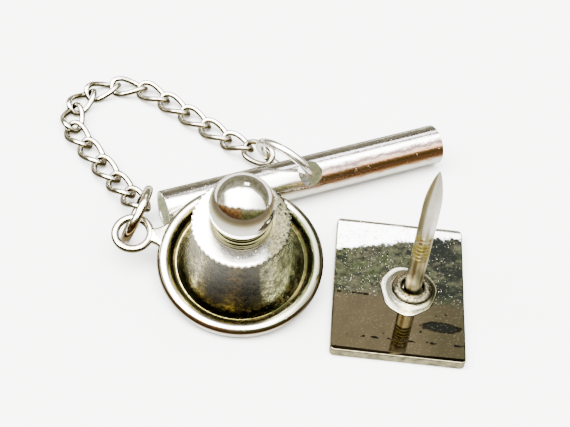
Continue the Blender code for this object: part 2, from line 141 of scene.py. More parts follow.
def from_curve(name, curve, degrees):
    holder = bpy.data.objects.new(name, curve)
    bpy.context.scene.collection.objects.link(holder)
    graph = bpy.context.evaluated_depsgraph_get()
    mesh = bpy.data.meshes.new_from_object(holder.evaluated_get(graph))
    bpy.data.objects.remove(holder, do_unlink=True)
    bpy.data.curves.remove(curve)
    bm = bmesh.new()
    bm.from_mesh(mesh)
    bmesh.ops.remove_doubles(bm, verts=bm.verts, dist=1e-6)
    bmesh.ops.recalc_face_normals(bm, faces=bm.faces)
    bm.to_mesh(mesh)
    bm.free()
    return smooth(mesh, degrees)


def slab(name, outlines, thickness, edge=0.0, degrees=35):
    """A flat plate from closed outlines, the first outside and the rest holes, with rounded edges."""
    curve = bpy.data.curves.new(name, "CURVE")
    curve.dimensions = "2D"
    curve.fill_mode = "BOTH"
    curve.extrude = (thickness / 2 - edge) * MM
    curve.bevel_depth = edge * MM
    curve.bevel_resolution = 3
    curve.offset = -edge * MM
    for outline in outlines:
        spline = curve.splines.new("POLY")
        spline.points.add(len(outline) - 1)
        for point, (x, y) in zip(spline.points, outline):
            point.co = (x * MM, y * MM, 0, 1)
        spline.use_cyclic_u = True
    return from_curve(name, curve, degrees)


def crisp_flats(obj):
    """Keep the flat faces flat beside their rounded edges."""
    modifier = obj.modifiers.new("flat_faces", "WEIGHTED_NORMAL")
    modifier.weight = 100
    modifier.keep_sharp = True
    return obj


def piece(name, mesh, look, body, stands_for, at=None):
    """Put a mesh in place, let it ride on its body and stand for its CAD node."""
    obj = bpy.data.objects.new(name, mesh)
    bpy.context.scene.collection.objects.link(obj)
    mesh.materials.clear()
    mesh.materials.append(look)
    if at is not None:
        obj.matrix_world = at
    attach(obj, body)
    if stands_for:
        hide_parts(stands_for)
    return obj


def rounded_rectangle(width, height, corner, steps=8):
    points = []
    for sx, sy, start in ((1, 1, 0), (-1, 1, 90), (-1, -1, 180), (1, -1, 270)):
        points += arc(sx * (width / 2 - corner), sy * (height / 2 - corner),
                      corner, corner, start, start + 90, steps)
    return points


def dark_edge(tree, x, y, ragged):
    """1 in the painted dark room, which leaves a bright strip along the slanting far edge."""
    line = calc(tree, "MULTIPLY_ADD", x, 0.29, 4.18)
    gap = calc(tree, "SUBTRACT", calc(tree, "MINIMUM", line, 5.0), y)
    return rise(tree, calc(tree, "ADD", gap, calc(tree, "MULTIPLY_ADD", ragged, 1.6, -0.8)), -0.12, 0.12)


def plate_look():
    """The dark room painted on the mirror: olive and black with bright pits above, plain brown below."""
    made = bpy.data.materials.new("plate_mirror")
    made.use_nodes = True
    tree = made.node_tree
    shader = tree.nodes["Principled BSDF"]
    place = node(tree, "ShaderNodeTexCoord").outputs["Object"]
    x, y, z = [calc(tree, "DIVIDE", axis, MM) for axis in
               node(tree, "ShaderNodeSeparateXYZ", {"Vector": place}).outputs]
    ragged = noise(tree, place, 0.7, 6.0, 0.7)
    upper = rise(tree, calc(tree, "MULTIPLY_ADD", ragged, 1.6, y), -0.7, 0.5)
    # Mottle of the painted reflection of the dark room, olive above and brown below.
    dark_room_mottle = noise(tree, place, 2.0, 6.0, 0.7)
    olive = mix(tree, rise(tree, dark_room_mottle, 0.42, 0.60), (0.0150, 0.0143, 0.0085), (0.0120, 0.0140, 0.0062))
    olive = brighter(tree, olive, calc(tree, "MULTIPLY_ADD", noise(tree, place, 0.40, 5.0, 0.8), 5.0, -1.6))
    brown = brighter(tree, (0.0165, 0.0128, 0.0066), calc(tree, "MULTIPLY_ADD", dark_room_mottle, 0.8, 0.55))
    brown = mix(tree, rise(tree, x, 0.8, 3.0, 0.75), brown, (0.0075, 0.0065, 0.0030))
    colour = mix(tree, upper, brown, olive)
    right = rise(tree, x, -2.0, 3.5)
    # Black patches of the painted reflection of the dark room, more of them on the right.
    dark_room_cloud = noise(tree, place, 1.8, 7.0, 0.75, (1.0, 1.5, 1.0))
    dark_room_black = rise(tree, calc(tree, "MULTIPLY_ADD", right, 0.13, dark_room_cloud), 0.53, 0.64)
    black = calc(tree, "MULTIPLY", upper, dark_room_black)
    colour = mix(tree, black, colour, (0.0030, 0.0036, 0.0026))
    spotted = rise(tree, noise(tree, place, 1.2), 0.46, 0.54)
    spots = calc(tree, "MULTIPLY", dots(tree, place, 0.9, 0.16), spotted)
    across = calc(tree, "DIVIDE", calc(tree, "SUBTRACT", x, 2.9), 1.35)
    along = calc(tree, "DIVIDE", calc(tree, "ADD", y, 3.17), 0.40)
    far = calc(tree, "ADD", calc(tree, "MULTIPLY", across, across), calc(tree, "MULTIPLY", along, along))
    streak = rise(tree, calc(tree, "MULTIPLY_ADD", ragged, 3.4, far), 2.9, 2.4)
    near_line = band(tree, y, -4.65, -4.52, 0.05)
    left_line = calc(tree, "MULTIPLY", band(tree, y, -1.0, -0.9, 0.05), rise(tree, x, -1.6, -2.0))
    broken = rise(tree, noise(tree, place, 0.5, 2.0), 0.50, 0.58)
    dashes = calc(tree, "MULTIPLY", calc(tree, "MAXIMUM", near_line, left_line), broken)
    marks = calc(tree, "MAXIMUM", calc(tree, "MAXIMUM", spots, streak), dashes)
    colour = mix(tree, marks, colour, (0.0016, 0.0017, 0.0011))
    pitted = rise(tree, noise(tree, place, 0.9), 0.44, 0.58)
    pit_share = calc(tree, "MULTIPLY_ADD", upper, pitted, 0.04)
    pits = calc(tree, "MULTIPLY", dots(tree, place, 0.17, 0.30), pit_share)
    colour = mix(tree, pits, colour, (0.35, 0.34, 0.25))
    colour = mix(tree, dark_edge(tree, x, y, ragged), (0.85, 0.85, 0.84), colour)
    bare_pits = calc(tree, "MULTIPLY", dots(tree, place, 1.1, 0.09), rise(tree, y, 2.8, 3.4))
    colour = mix(tree, bare_pits, colour, (0.02, 0.018, 0.012))
    worn = calc(tree, "MULTIPLY_ADD", noise(tree, place, 0.5, 4.0), 1.5, -0.25)
    rim = brighter(tree, (0.42, 0.38, 0.24), worn)
    colour = mix(tree, rise(tree, z, PLATE_T / 2 - 0.005, PLATE_T / 2 - 0.02), colour, rim)
    bump = node(tree, "ShaderNodeBump", {"Height": calc(tree, "ADD", pits, marks), "Strength": 1.0,
                                         "Distance": 0.006 * MM})
    shader.inputs["Metallic"].default_value = 1.0
    put(tree, shader.inputs["Base Color"], colour)
    put(tree, shader.inputs["Roughness"], calc(tree, "MULTIPLY_ADD", black, 0.10, 0.05))
    put(tree, shader.inputs["Normal"], bump.outputs["Normal"])
    return made


plate = slab("plate", [rounded_rectangle(PLATE_W, PLATE_H, 0.35)], PLATE_T, 0.09)
crisp_flats(piece("plate", plate, plate_look(), "pin", "face_plate",
                  PIN @ at_mm(0, 0, PLATE_T / 2)))


# ---- solder ------------------------------------------------------------------------
# An uneven puddle of bright solder that holds the post's flange on the plate.
# It lies a little off the post's centre, with a dark line where it meets the plate.
POST_AT = PIN @ at_mm(0.89, -0.15, 0)
SOLDER_SHIFT = (-0.25, -0.10)
SOLDER_FOOT = 0.706


def ramp(tree, fac, stops):
    made = node(tree, "ShaderNodeValToRGB", {"Fac": fac})
    while len(made.color_ramp.elements) < len(stops):
        made.color_ramp.elements.new(0.5)
    for element, (place, colour) in zip(made.color_ramp.elements, stops):
        element.position = place
        element.color = (*(colour if isinstance(colour, tuple) else (colour,) * 3), 1)
    return made.outputs["Color"]


def around(tree):
    """Side (0 left, 1 right), radius and height about the piece's own axis, in millimetres."""
    place = node(tree, "ShaderNodeTexCoord").outputs["Object"]
    x, y, z = node(tree, "ShaderNodeSeparateXYZ", {"Vector": place}).outputs
    squares = calc(tree, "ADD", calc(tree, "MULTIPLY", x, x), calc(tree, "MULTIPLY", y, y))
    radius = calc(tree, "SQRT", squares)
    side = calc(tree, "MULTIPLY_ADD", calc(tree, "DIVIDE", x, radius), 0.5, 0.5)
    return place, side, calc(tree, "DIVIDE", radius, MM), calc(tree, "DIVIDE", z, MM)


def new_group(name, inputs, outputs):
    group = bpy.data.node_groups.new(name, "ShaderNodeTree")
    for key, default in inputs.items():
        kind = "NodeSocketColor" if isinstance(default, tuple) else "NodeSocketFloat"
        group.interface.new_socket(key, in_out="INPUT", socket_type=kind).default_value = default
    for key in outputs:
        kind = "NodeSocketColor" if key == "Color" else "NodeSocketFloat"
        group.interface.new_socket(key, in_out="OUTPUT", socket_type=kind)
    return group, group.nodes.new("NodeGroupInput").outputs, group.nodes.new("NodeGroupOutput").inputs


def worn_plating():
    """Old plating: cloudy tarnish, small dark pits and fine grain."""
    group, given, out = new_group("worn_plating", {
        "Metal": (0.7, 0.68, 0.63, 1.0), "Tarnish": (0.2, 0.16, 0.08, 1.0), "Stain": 0.3, "Pits": 0.3,
        "Shine": 0.12, "Grain": 0.3}, ("Color", "Roughness", "Height"))
    place = node(group, "ShaderNodeTexCoord").outputs["Object"]
    cloud = noise(group, place, 1.6, 6.0, 0.65)
    patch = rise(group, cloud, 0.50, 0.72)
    few = rise(group, noise(group, place, 3.0), 0.42, 0.62)
    pit = calc(group, "MULTIPLY", dots(group, place, 0.36, 0.24), few)
    fine = noise(group, place, 0.16, 3.0)
    stained = calc(group, "MULTIPLY", patch, given["Stain"])
    pitted = calc(group, "MULTIPLY", pit, given["Pits"])
    dirty = calc(group, "MAXIMUM", stained, pitted, clamp=True)
    group.links.new(mix(group, dirty, given["Metal"], given["Tarnish"]), out["Color"])
    rough = calc(group, "MULTIPLY_ADD", dirty, 0.30, given["Shine"])
    grainy = calc(group, "MULTIPLY_ADD", calc(group, "SUBTRACT", fine, 0.5), 0.12, rough)
    group.links.new(grainy, out["Roughness"])
    grain = calc(group, "MULTIPLY", fine, given["Grain"])
    group.links.new(calc(group, "SUBTRACT", grain, pitted), out["Height"])
    return group


PLATING = worn_plating()


def metal(name, colour, tarnish, stain=0.3, pits=0.3, shine=0.12, grain=0.3, relief=0.02):
    """Worn plated metal; any value may be a function that paints it; relief is in millimetres."""
    made = bpy.data.materials.new(name)
    made.use_nodes = True
    tree = made.node_tree
    shader = tree.nodes["Principled BSDF"]
    look = node(tree, "ShaderNodeGroup", {}, node_tree=PLATING)
    for key, value in (("Metal", colour), ("Tarnish", tarnish), ("Stain", stain), ("Pits", pits),
                       ("Shine", shine), ("Grain", grain)):
        put(tree, look.inputs[key], value(tree) if callable(value) else value)
    bump = node(tree, "ShaderNodeBump", {"Height": look.outputs["Height"], "Strength": 1.0,
                                         "Distance": relief * MM})
    shader.inputs["Metallic"].default_value = 1.0
    put(tree, shader.inputs["Base Color"], look.outputs["Color"])
    put(tree, shader.inputs["Roughness"], look.outputs["Roughness"])
    put(tree, shader.inputs["Normal"], bump.outputs["Normal"])
    return made


def puddle(name, width, height, thickness, inner, steps=96):
    """Solder from the flange (share 0) out to its uneven, rounded edge (share 1)."""
    bm = bmesh.new()
    rings = []
    for share, z in ((1, 0), (1, 0.02), (0.93, 0.055), (0.8, 0.045), (0.6, 0.035), (0.4, 0.05),
                     (0.2, 0.085), (0, thickness)):
        ring = []
        for k in range(steps):
            a = 2 * math.pi * k / steps
            wobble = 1 + 0.035 * math.sin(3 * a + 0.6) + 0.02 * math.sin(7 * a)
            rim = Vector((width / 2 * math.cos(a), height / 2 * math.sin(a))) * wobble
            core = -Vector(SOLDER_SHIFT) + inner * Vector((math.cos(a), math.sin(a)))
            x, y = core.lerp(rim, share)
            ring.append(bm.verts.new(Vector((x, y, z)) * MM))
        rings.append(ring)
    for low, high in zip(rings, rings[1:]):
        for k in range(steps):
            bm.faces.new((low[k - 1], low[k], high[k], high[k - 1]))
    bm.faces.new(reversed(rings[0]))
    bm.faces.new(rings[-1])
    mesh = bpy.data.meshes.new(name)
    bm.to_mesh(mesh)
    bm.free()
    return smooth(mesh, 60)


def solder_paint(tree):
    """Painted light: bright on the left and painted shade on the right, with a dark line where it meets the plate.
    """
    _, side, _, height = around(tree)
    # Painted light by side: bright on the left, painted shade on the right.
    bright = ramp(tree, side, [(0.0, (0.62, 0.60, 0.50)), (0.45, (0.55, 0.53, 0.44)),
                               (0.75, (0.16, 0.15, 0.09)), (1.0, (0.10, 0.10, 0.06))])
    return mix(tree, rise(tree, height, 0.045, 0.028), bright, (0.02, 0.017, 0.008))


SOLDER_LOOK = metal("solder_bright", solder_paint, (0.10, 0.085, 0.04), stain=0.5, pits=0.4, shine=0.14,
                    grain=0.5, relief=0.015)
piece("solder", puddle("solder", 3.9, 4.3, 0.12, 1.47), SOLDER_LOOK, "pin", "solder_pad",
      POST_AT @ at_mm(*SOLDER_SHIFT, SOLDER_FOOT))


# ---- flange and post ------------------------------------------------------------------
# Turned nickel post with a pointed end and small grooves that the lock bites into.
# Its foot stands in a round nickel flange, which is soldered to the plate.
FLANGE_FOOT = 0.832
POST_R, POST_L, POINT_SHARE = 0.60, 11.35, 0.29
GROOVES, GROOVE_FOOT, GROOVE_PITCH, GROOVE_W = 7, 3.35, 0.34, 0.21


def turned(name, profile, steps=128, closed=True, degrees=35, shape=None):
    """Turn a profile of (radius, height) in millimetres about Z; shape may move each point."""
    bm = bmesh.new()
    rings = []
    for r, z in profile:
        if r < 1e-6:
            rings.append([bm.verts.new((0, 0, z * MM))])
            continue
        ring = []
        for k in range(steps):
            a = 2 * math.pi * k / steps
            point = Vector((r * math.cos(a), r * math.sin(a), z))
            ring.append(bm.verts.new((shape(point) if shape else point) * MM))
        rings.append(ring)
    pairs = list(zip(rings, rings[1:])) + ([(rings[-1], rings[0])] if closed else [])
    for low, high in pairs:
        for k in range(steps):
            j = (k + 1) % steps
            corners = [low[k % len(low)], low[j % len(low)], high[j % len(high)], high[k % len(high)]]
            corners = list(dict.fromkeys(corners))
            if len(corners) > 2:
                bm.faces.new(corners)
    bmesh.ops.recalc_face_normals(bm, faces=bm.faces)
    mesh = bpy.data.meshes.new(name)
    bm.to_mesh(mesh)
    bm.free()
    return smooth(mesh, degrees)


def flange_paint(tree):
    """Grainy ring, with painted shade round the recess and down the outside to the foot."""
    place, _, radius, _ = around(tree)
    grain = calc(tree, "MULTIPLY_ADD", noise(tree, place, 0.16, 4.0), 5.0, -1.6)
    ring = brighter(tree, (0.15, 0.135, 0.085), grain)
    # Painted shade: near black round the recess and down the outside to the foot.
    return mix(tree, band(tree, radius, 0.90, 1.30, 0.05), (0.012, 0.011, 0.005), ring)


# Worn plating over the painted shade of the recess and foot.
FLANGE_LOOK = metal("flange_worn_painted_shade", flange_paint, (0.012, 0.010, 0.005), stain=0.7, pits=0.5, shine=0.24,
                    grain=0.8, relief=0.02)
flange = [(1.10, 0.30), (1.14, 0.29), (1.18, 0.27), (1.39, 0.10), (1.42, 0.06), (1.42, 0),
          (0.63, 0), (0.63, 0.06), (0.72, 0.06), (0.77, 0.27), (0.80, 0.30)]
piece("flange", turned("flange", flange, 96), FLANGE_LOOK, "pin", "post_flange",
      POST_AT @ at_mm(0, 0, FLANGE_FOOT))


def post_profile():
    """From tip to foot, with the small grooves that the lock bites into."""
    point = POST_L * POINT_SHARE
    profile = [(0, POST_L), (0.03, POST_L - 0.02), (0.05, POST_L - 0.06)]
    for k in range(1, 13):
        profile.append((0.05 + (POST_R - 0.05) * math.sin(math.pi / 2 * k / 12) ** 0.85,
                        POST_L - 0.06 - (point - 0.06) * k / 12))
    for k in reversed(range(GROOVES)):
        top = GROOVE_FOOT + k * GROOVE_PITCH + GROOVE_W
        profile += [(POST_R, top + 0.03), (POST_R - 0.012, top), (POST_R - 0.06, top - GROOVE_W / 2),
                    (POST_R - 0.012, top - GROOVE_W), (POST_R, top - GROOVE_W - 0.03)]
    return profile + [(POST_R, 0), (0, 0)]


def post_paint(tree):
    """Brown stripes below as painted reflections, yellow-olive where the lock bites, pale point with one flank in
    painted shade, painted shade at the foot.
    """
    place, side, _, height = around(tree)
    # Painted reflections: pale and brown stripes round the side below, and one flank of the point in painted
    # shade.
    low = ramp(tree, side, [(0.0, (0.30, 0.25, 0.12)), (0.14, (0.80, 0.76, 0.52)), (0.22, (0.26, 0.19, 0.08)),
                            (0.34, (0.34, 0.25, 0.11)), (0.42, (0.90, 0.84, 0.58)),
                            (0.70, (0.85, 0.80, 0.56)),
                            (0.80, (0.30, 0.23, 0.09)), (1.0, (0.90, 0.87, 0.70))])
    high = ramp(tree, side, [(0.0, (0.16, 0.13, 0.05)), (0.10, (0.30, 0.25, 0.13)),
                             (0.20, (0.42, 0.37, 0.24)),
                             (0.28, (0.93, 0.93, 0.88)), (1.0, (0.95, 0.95, 0.92))])
    colour = mix(tree, rise(tree, height, 5.6, 6.6), low, high)
    patchy = rise(tree, noise(tree, place, 0.7, 5.0), 0.42, 0.58)
    stained = calc(tree, "MULTIPLY", band(tree, height, 3.5, 5.8, 0.7), patchy)
    colour = mix(tree, stained, colour, (0.50, 0.43, 0.11))
    # Painted shade at the foot, down in the flange.
    return mix(tree, rise(tree, height, 0.55, 0.25), colour, (0.03, 0.03, 0.008))


def post_shine(tree):
    """Smooth below the grooves, satin towards the point."""
    height = around(tree)[3]
    return calc(tree, "MULTIPLY_ADD", rise(tree, height, 4.5, 7.5), 0.12, 0.32)


# Worn plating with painted reflections and painted shade.
POST_LOOK = metal("post_worn_painted_light", post_paint, (0.36, 0.30, 0.12), stain=0.35, pits=0.3, shine=post_shine,
                  grain=0.3, relief=0.008)
piece("post", turned("post", post_profile(), 64, closed=False, degrees=25), POST_LOOK, "pin", "pin_post",
      POST_AT @ at_mm(0, 0, FLANGE_FOOT))


# ---- clutch dish ----------------------------------------------------------------------
# Dish stamped from silver-coloured sheet, with its rim rolled into a bead and polished.
# The clutch leans with its far rim on the T-bar, so its place is read from its own axis.
BASE_R, BEAD_W, BEAD_H, FLOOR_T = 5.65, 0.96, 1.12, 0.42
lean = Vector(JOINTS["knob_pull"]["axis"])
CLUTCH_TURN = (Matrix.Rotation(math.atan2(-lean.y, lean.z), 4, "X")
               @ Matrix.Rotation(math.asin(lean.x), 4, "Y"))
underside = Vector(MOUNTS["clutch_underside"]["pos_m"]) - CLUTCH_TURN @ Vector((-3, 0, 0)) * MM
CLUTCH = Matrix.Translation(underside) @ CLUTCH_TURN


def dish_profile():
    x, z = BASE_R - BEAD_W / 2, BEAD_H / 2
    profile = arc(x, z, BEAD_W / 2, z, 90, -90, 24)
    profile += [(0.92, 0), (0.84, 0.03), (0.80, 0.12), (0.80, FLOOR_T), (x - BEAD_W / 2 - 0.22, FLOOR_T)]
    profile += arc(x - BEAD_W / 2 - 0.22, FLOOR_T + 0.16, 0.20, 0.16, -80, -10, 5)
    return profile + arc(x, z, BEAD_W / 2, z, 165, 97, 14)


def dish_paint(tree):
    """Bright rim with a brown line low outside, a painted reflection of the room; olive dirt and painted shade in
    the trough, deepest by the housing; both in painted shade on the right.
    """
    place, side, radius, height = around(tree)
    # Painted shade on the right of the rim.
    rim = ramp(tree, side, [(0.0, (0.62, 0.60, 0.51)), (0.5, (0.70, 0.67, 0.60)), (0.76, (0.52, 0.50, 0.42)),
                            (0.90, (0.13, 0.135, 0.095)), (1.0, (0.10, 0.105, 0.075))])
    # Painted reflection of the room: a brown line low on the outside of the bead.
    line = calc(tree, "MULTIPLY", band(tree, height, 0.78, 0.97, 0.04), rise(tree, radius, 5.30, 5.36))
    rim = mix(tree, line, rim, (0.10, 0.055, 0.022))
    # Olive dirt in the trough, in painted shade towards the right.
    trough = ramp(tree, side, [(0.0, (0.60, 0.50, 0.19)), (0.25, (0.60, 0.50, 0.15)),
                               (0.5, (0.85, 0.74, 0.20)), (0.8, (0.035, 0.037, 0.012)),
                               (1.0, (0.013, 0.017, 0.007))])
    trough_mottle = calc(tree, "MULTIPLY_ADD", noise(tree, place, 0.45, 5.0, 0.75), 5.0, -1.4)
    trough = brighter(tree, trough, trough_mottle)
    # Painted shade: near black in the crease by the housing's foot.
    trough = mix(tree, band(tree, radius, 4.38, 4.80, 0.04), trough, (0.0075, 0.0068, 0.0022))
    ragged = calc(tree, "ADD", radius, calc(tree, "MULTIPLY_ADD", noise(tree, place, 0.4, 4.0), 0.3, -0.15))
    return mix(tree, rise(tree, ragged, 4.95, 4.86), rim, trough)


RIM_LOOK = metal("rim_polished", dish_paint, (0.14, 0.10, 0.035), stain=0.35, pits=0.5, shine=0.09,
                 grain=0.2, relief=0.012)
piece("dish", turned("dish", dish_profile(), 192), RIM_LOOK, "clutch", "clutch_base", CLUTCH)


# ---- eyelet -----------------------------------------------------------------------------
# Eye for the chain, of one piece with the dish.
# A flat web flares from the rim to it, and both share one finish.
EYE, EYE_R, EYE_WIRE_R = (-7.50, 0.95, 0.75), 1.20, 0.27


def wire(name, points, radius, closed=True, roundness=4):
    """A round wire along a run of points in millimetres."""
    curve = bpy.data.curves.new(name, "CURVE")
    curve.dimensions = "3D"
    curve.bevel_depth = radius * MM
    curve.bevel_resolution = roundness
    curve.use_fill_caps = True
    spline = curve.splines.new("POLY")
    spline.points.add(len(points) - 1)
    for point, co in zip(spline.points, points):
        point.co = (*(Vector(co) * MM), 1)
    spline.use_cyclic_u = closed
    return from_curve(name, curve, 50)


def circle(radius, steps):
    return [(radius * math.cos(2 * math.pi * k / steps), radius * math.sin(2 * math.pi * k / steps), 0)
            for k in range(steps)]


def lit_top_shaded_flanks(bright, painted_dark):
    """Paint for a wire: painted highlight on top, painted shade down its flanks and a painted reflection of the
    table underneath.
    """
    def paint(tree):
        normal = node(tree, "ShaderNodeNewGeometry").outputs["Normal"]
        up = node(tree, "ShaderNodeSeparateXYZ", {"Vector": normal}).outputs["Z"]
        place = node(tree, "ShaderNodeTexCoord").outputs["Object"]
        up = calc(tree, "ADD", up, calc(tree, "MULTIPLY_ADD", noise(tree, place, 0.35, 4.0), 0.9, -0.45))
        # Painted light by which way the wire faces: highlight up top, shade on the flanks, the table's reflection
        # below.
        colour = mix(tree, rise(tree, up, 0.44, 0.70), painted_dark, bright)
        return mix(tree, rise(tree, up, -0.30, -0.50), colour, bright)
    return paint


def eyelet_neck():
    """Flat web that flares from the rim to the ring of the eyelet."""
    left, right, steps = -6.42, -4.95, 12
    upper, lower = [], []
    for k in range(steps + 1):
        x = left + (right - left) * k / steps
        half = 0.50 + 0.95 * (k / steps) ** 2.4
        upper.append((x, EYE[1] + half))
        lower.append((x, EYE[1] - half))
    return slab("eyelet_neck", [lower + upper[::-1]], 0.52, 0.16)


# Worn plating with painted light: a highlight on top and painted shade down the flanks.
EYELET_LOOK = metal("eyelet_worn_painted_light", lit_top_shaded_flanks((0.66, 0.63, 0.52), (0.10, 0.085, 0.04)), (0.12, 0.09, 0.035),
                    stain=0.5, pits=0.4, shine=0.12, grain=0.4, relief=0.010)
piece("eyelet", wire("eyelet", circle(EYE_R, 72), EYE_WIRE_R, roundness=6), EYELET_LOOK, "clutch", None,
      CLUTCH @ at_mm(*EYE))
crisp_flats(piece("eyelet_neck", eyelet_neck(), EYELET_LOOK, "clutch", None,
                  CLUTCH @ at_mm(0, 0, EYE[2] - 0.04)))


# ---- clutch housing ---------------------------------------------------------------------
# Bell-shaped shell between dish and cap, plated over a rough casting, with the lock inside it.
# Its dark front and grey sides are painted by place, as the room that it mirrors.
HOUSING_TOP_R, HOUSING_FLARE, HOUSING_WALL = 3.12, 1.23, 0.30


def housing_profile():
    """Outside from the flared foot up, then back down the inside."""
    foot, top, steps = FLOOR_T + 0.006, 5.614, 24
    outer = [(HOUSING_TOP_R + HOUSING_FLARE * (1 - k / steps) ** 2.3, foot + (top - foot) * k / steps)
             for k in range(steps + 1)]
    inner = [(r - HOUSING_WALL, z) for r, z in outer]
    return outer[::-1] + inner


def housing_paint(tree):
    """The mirrored room, painted: nearly black in front, mottled brown and olive, with grey sides."""
    place, side, _, height = around(tree)
    flank = ramp(tree, side, [(0.0, (0.020, 0.023, 0.008)), (0.06, (0.045, 0.045, 0.018)),
                              (0.13, (0.17, 0.16, 0.10)), (0.19, (0.050, 0.042, 0.020)),
                              (0.25, (0.0022, 0.0019, 0.0007)), (0.36, (0.0032, 0.0027, 0.0008)),
                              (0.5, (0.017, 0.0115, 0.0024)), (0.62, (0.0028, 0.0026, 0.0008)),
                              (0.73, (0.009, 0.008, 0.003)), (0.79, (0.15, 0.15, 0.09)),
                              (0.90, (0.75, 0.75, 0.50)), (1.0, (0.20, 0.22, 0.12))])
    mottle = calc(tree, "POWER", calc(tree, "MULTIPLY", noise(tree, place, 0.60, 6.0, 0.78), 1.98), 5.0)
    mottled = brighter(tree, flank, mottle)
    dusty = rise(tree, noise(tree, place, 0.3, 4.0), 0.4, 0.6)
    foot = calc(tree, "MULTIPLY", rise(tree, height, 1.5, 0.9), dusty)
    return mix(tree, foot, mottled, (0.055, 0.045, 0.02))


HOUSING_LOOK = metal("housing_cast", housing_paint, (0.004, 0.004, 0.002), stain=0.5, pits=0.8, shine=0.22,
                     grain=0.8, relief=0.03)
piece("housing", turned("housing", housing_profile(), 160), HOUSING_LOOK, "clutch", "clutch_housing",
      CLUTCH)


# ---- scalloped cap ------------------------------------------------------------------------
# Stamped disc with a scalloped edge, which closes the housing.
# Its plating is satin and white; the olive on the right is a painted reflection of the dark room.
CAP_TOP, CAP_T, CAP_R, CAP_BORE_R = 6.08, 0.46, 3.23, 1.07
SCALLOPS, SCALLOP_DEPTH = 48, 0.024


def scalloped(point):
    """Press shallow scallops into the cap's edge and leave the rest of the disc round."""
    if math.hypot(point.x, point.y) < CAP_R - 0.15:
        return point
    scoop = 0.5 - 0.5 * math.cos(SCALLOPS * math.atan2(point.y, point.x))
    shrink = 1 - SCALLOP_DEPTH * scoop
    return Vector((point.x * shrink, point.y * shrink, point.z))


def cap_paint(tree):
    """Satin white, olive towards the right as a painted reflection of the dark room, with a dark painted
    reflection of the ball round the neck and painted shade under its edge.
    """
    place, _, radius, height = around(tree)
    x = node(tree, "ShaderNodeSeparateXYZ", {"Vector": place}).outputs["X"]
    ragged = calc(tree, "MULTIPLY_ADD", noise(tree, place, 0.5, 5.0, 0.7), 1.2 * MM, x)
    # Painted reflection of the dark olive room on the right side.
    painted_dark = rise(tree, ragged, 1.3 * MM, 2.7 * MM)
    specks = calc(tree, "MULTIPLY_ADD", noise(tree, place, 0.14, 3.0), 6.0, -2.0)
    speckled = brighter(tree, (0.030, 0.029, 0.017), specks)
    colour = mix(tree, painted_dark, (0.78, 0.77, 0.72), speckled)
    # Painted reflection of the ball's dark underside round the neck.
    colour = mix(tree, rise(tree, radius, 2.25, 2.0), colour, (0.10, 0.09, 0.04))
    # Painted shade under the cap's edge.
    return mix(tree, rise(tree, height, 0.10, -0.02), colour, (0.10, 0.085, 0.03))


CAP_LOOK = metal("cap_satin", cap_paint, (0.14, 0.12, 0.06), stain=0.25, pits=0.5, shine=0.20, grain=0.5,
                 relief=0.012)
half_t = CAP_T / 2
edge = [(CAP_R - 0.09, -half_t), (CAP_R - 0.02, -half_t + 0.03), (CAP_R, -half_t + 0.09),
        (CAP_R, half_t - 0.09), (CAP_R - 0.02, half_t - 0.03), (CAP_R - 0.09, half_t)]
cap = [(CAP_BORE_R, -half_t)] + edge + [(3.00, half_t), (2.60, half_t), (CAP_BORE_R, half_t)]
crisp_flats(piece("cap", turned("cap", cap, 480, shape=scalloped), CAP_LOOK, "clutch", "scalloped_cap",
                  CLUTCH @ at_mm(0, 0, CAP_TOP - half_t)))


# ---- neck -----------------------------------------------------------------------------------
# Stepped collar of plated nickel, fixed on the cap, with the ball resting on it.
# It is bored through for the lock's sleeve.
# Its colour is painted nearly black as painted shade under the ball, over worn plating.
NECK_LOOK = metal("neck_worn_painted_shade", (0.050, 0.046, 0.020), (0.010, 0.008, 0.003), stain=0.7, pits=0.5, shine=0.14,
                  grain=0.4, relief=0.012)
neck = [(1.07, 6.086), (1.94, 6.086), (1.99, 6.11), (2.00, 6.16)] + arc(1.94, 6.30, 0.06, 0.06, 0, 90, 4)
neck += [(1.82, 6.372), (1.76, 6.40), (1.76, 6.56)] + arc(1.70, 6.57, 0.06, 0.06, 0, 90, 4) + [(1.07, 6.636)]
piece("neck", turned("neck", neck, 128), NECK_LOOK, "clutch", "neck_collar", CLUTCH)


# ---- ball knob ---------------------------------------------------------------------------
# Polished ball that is pulled up to free the pin, flat underneath where it sits on the neck.
# A blind bore in it holds the lock's sleeve.
BALL_R, BALL_Z, BALL_FLAT_Z = 2.12, 8.09, 6.666


def ball_profile():
    """From the top down to the flat, then up round the blind bore for the sleeve."""
    drop = BALL_Z - BALL_FLAT_Z
    low = -math.degrees(math.asin(drop / BALL_R))
    profile = arc(0, 0, BALL_R, BALL_R, 90, low, 64)
    profile[0] = (0, BALL_R)
    return profile + [(1.046, -drop), (1.046, 0.09), (0.70, 0.09), (0.70, 1.2), (0, 1.62)]


BALL_LOOK = metal("ball_mirror", (0.66, 0.64, 0.60), (0.34, 0.31, 0.20), stain=0.30, pits=0.15, shine=0.075,
                  grain=0.25, relief=0.006)
piece("ball", turned("ball", ball_profile(), 128, closed=False), BALL_LOOK, "knob", "knob_ball",
      CLUTCH @ at_mm(0, 0, BALL_Z))


